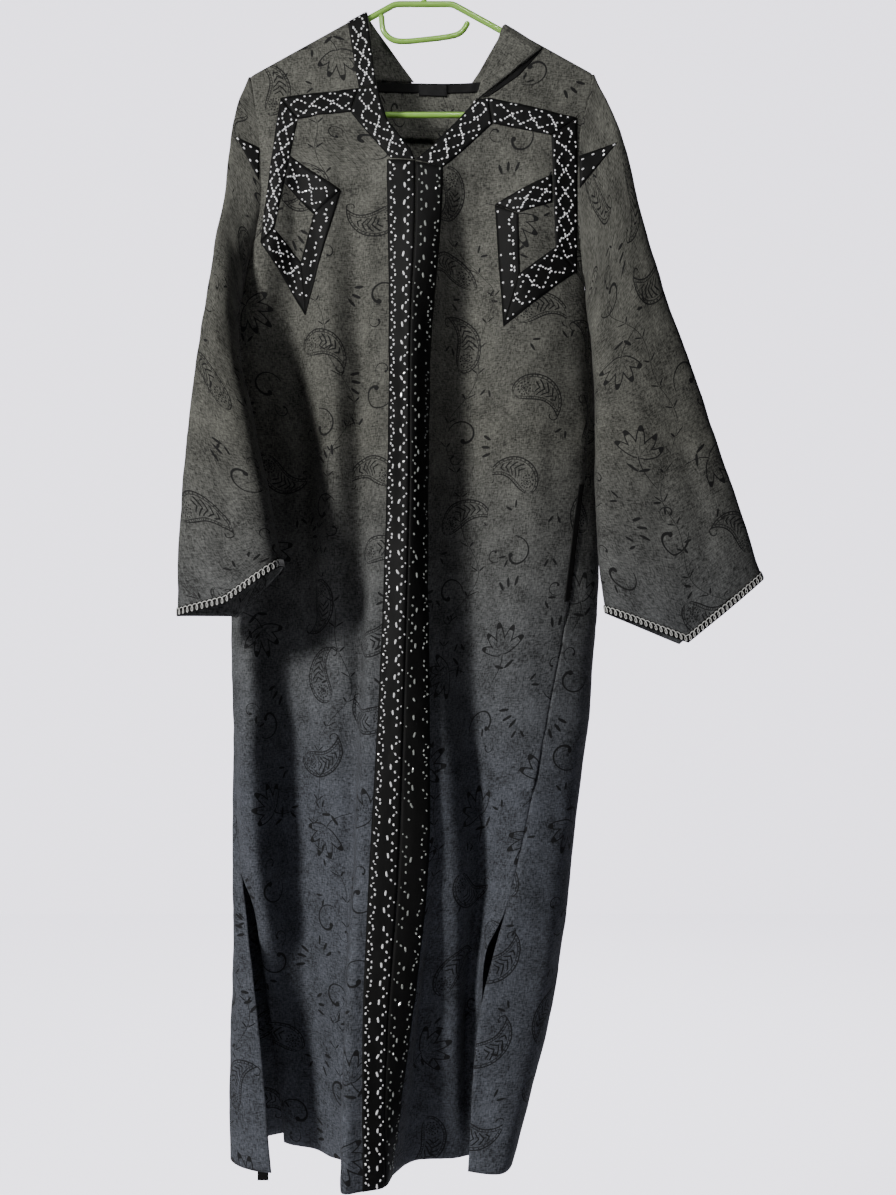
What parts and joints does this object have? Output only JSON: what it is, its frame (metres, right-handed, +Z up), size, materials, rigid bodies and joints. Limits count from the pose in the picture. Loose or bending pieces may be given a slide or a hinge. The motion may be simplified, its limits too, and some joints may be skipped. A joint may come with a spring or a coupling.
{
  "type": "djellaba robe on a clothes hanger",
  "caption": "Long hooded robe with wide sleeves, side slits and studded black ribbon at neck, front and chest, hanging flat on a plastic hanger.",
  "frame": {"origin": "inner top of the hanger's hook, where the rail touches it", "axes": "+Z up, -Y the way the robe's front faces, +X to the wearer's left"},
  "size_m": [0.7109, 0.2498, 1.538],
  "materials": {
    "cloth": "matt charcoal weave with a fine black print",
    "ribbon": "satin black ribbon",
    "braid": "silver looped braid",
    "hanger_plastic": "light green, glossy"
  },
  "bodies": {
    "root": {"front_right": "cloth", "back_panel": "cloth", "front_left": "cloth", "front_left_skirt": "cloth", "sleeve_right": "cloth", "sleeve_right_lower": "cloth", "sleeve_left": "cloth", "sleeve_left_lower": "cloth", "hood_shoulder_fold": "cloth", "hood_corner": "cloth", "hood": "cloth", "pocket_welt": "cloth", "neck_band_right_upper": "ribbon", "neck_band_right_lower": "ribbon", "neck_band_left_upper": "ribbon", "neck_band_left_lower": "ribbon", "centre_band_right": "ribbon", "centre_band_left": "ribbon", "motif_left_top": "ribbon", "motif_left_outer": "ribbon", "motif_left_lower": "ribbon", "motif_left_inner": "ribbon", "motif_left_upper": "ribbon", "motif_right_top": "ribbon", "motif_right_outer": "ribbon", "motif_right_lower": "ribbon", "motif_right_inner": "ribbon", "motif_right_upper": "ribbon", "spike_right": "ribbon", "spike_left": "ribbon", "back_neck_facing": "ribbon", "neck_label": "ribbon", "hem_tab": "ribbon", "cuff_braid_right": "braid", "cuff_braid_left": "braid", "hanger_frame": "hanger_plastic", "hanger_hook": "hanger_plastic", "strap_hook": "hanger_plastic"}
  },
  "joints": []
}
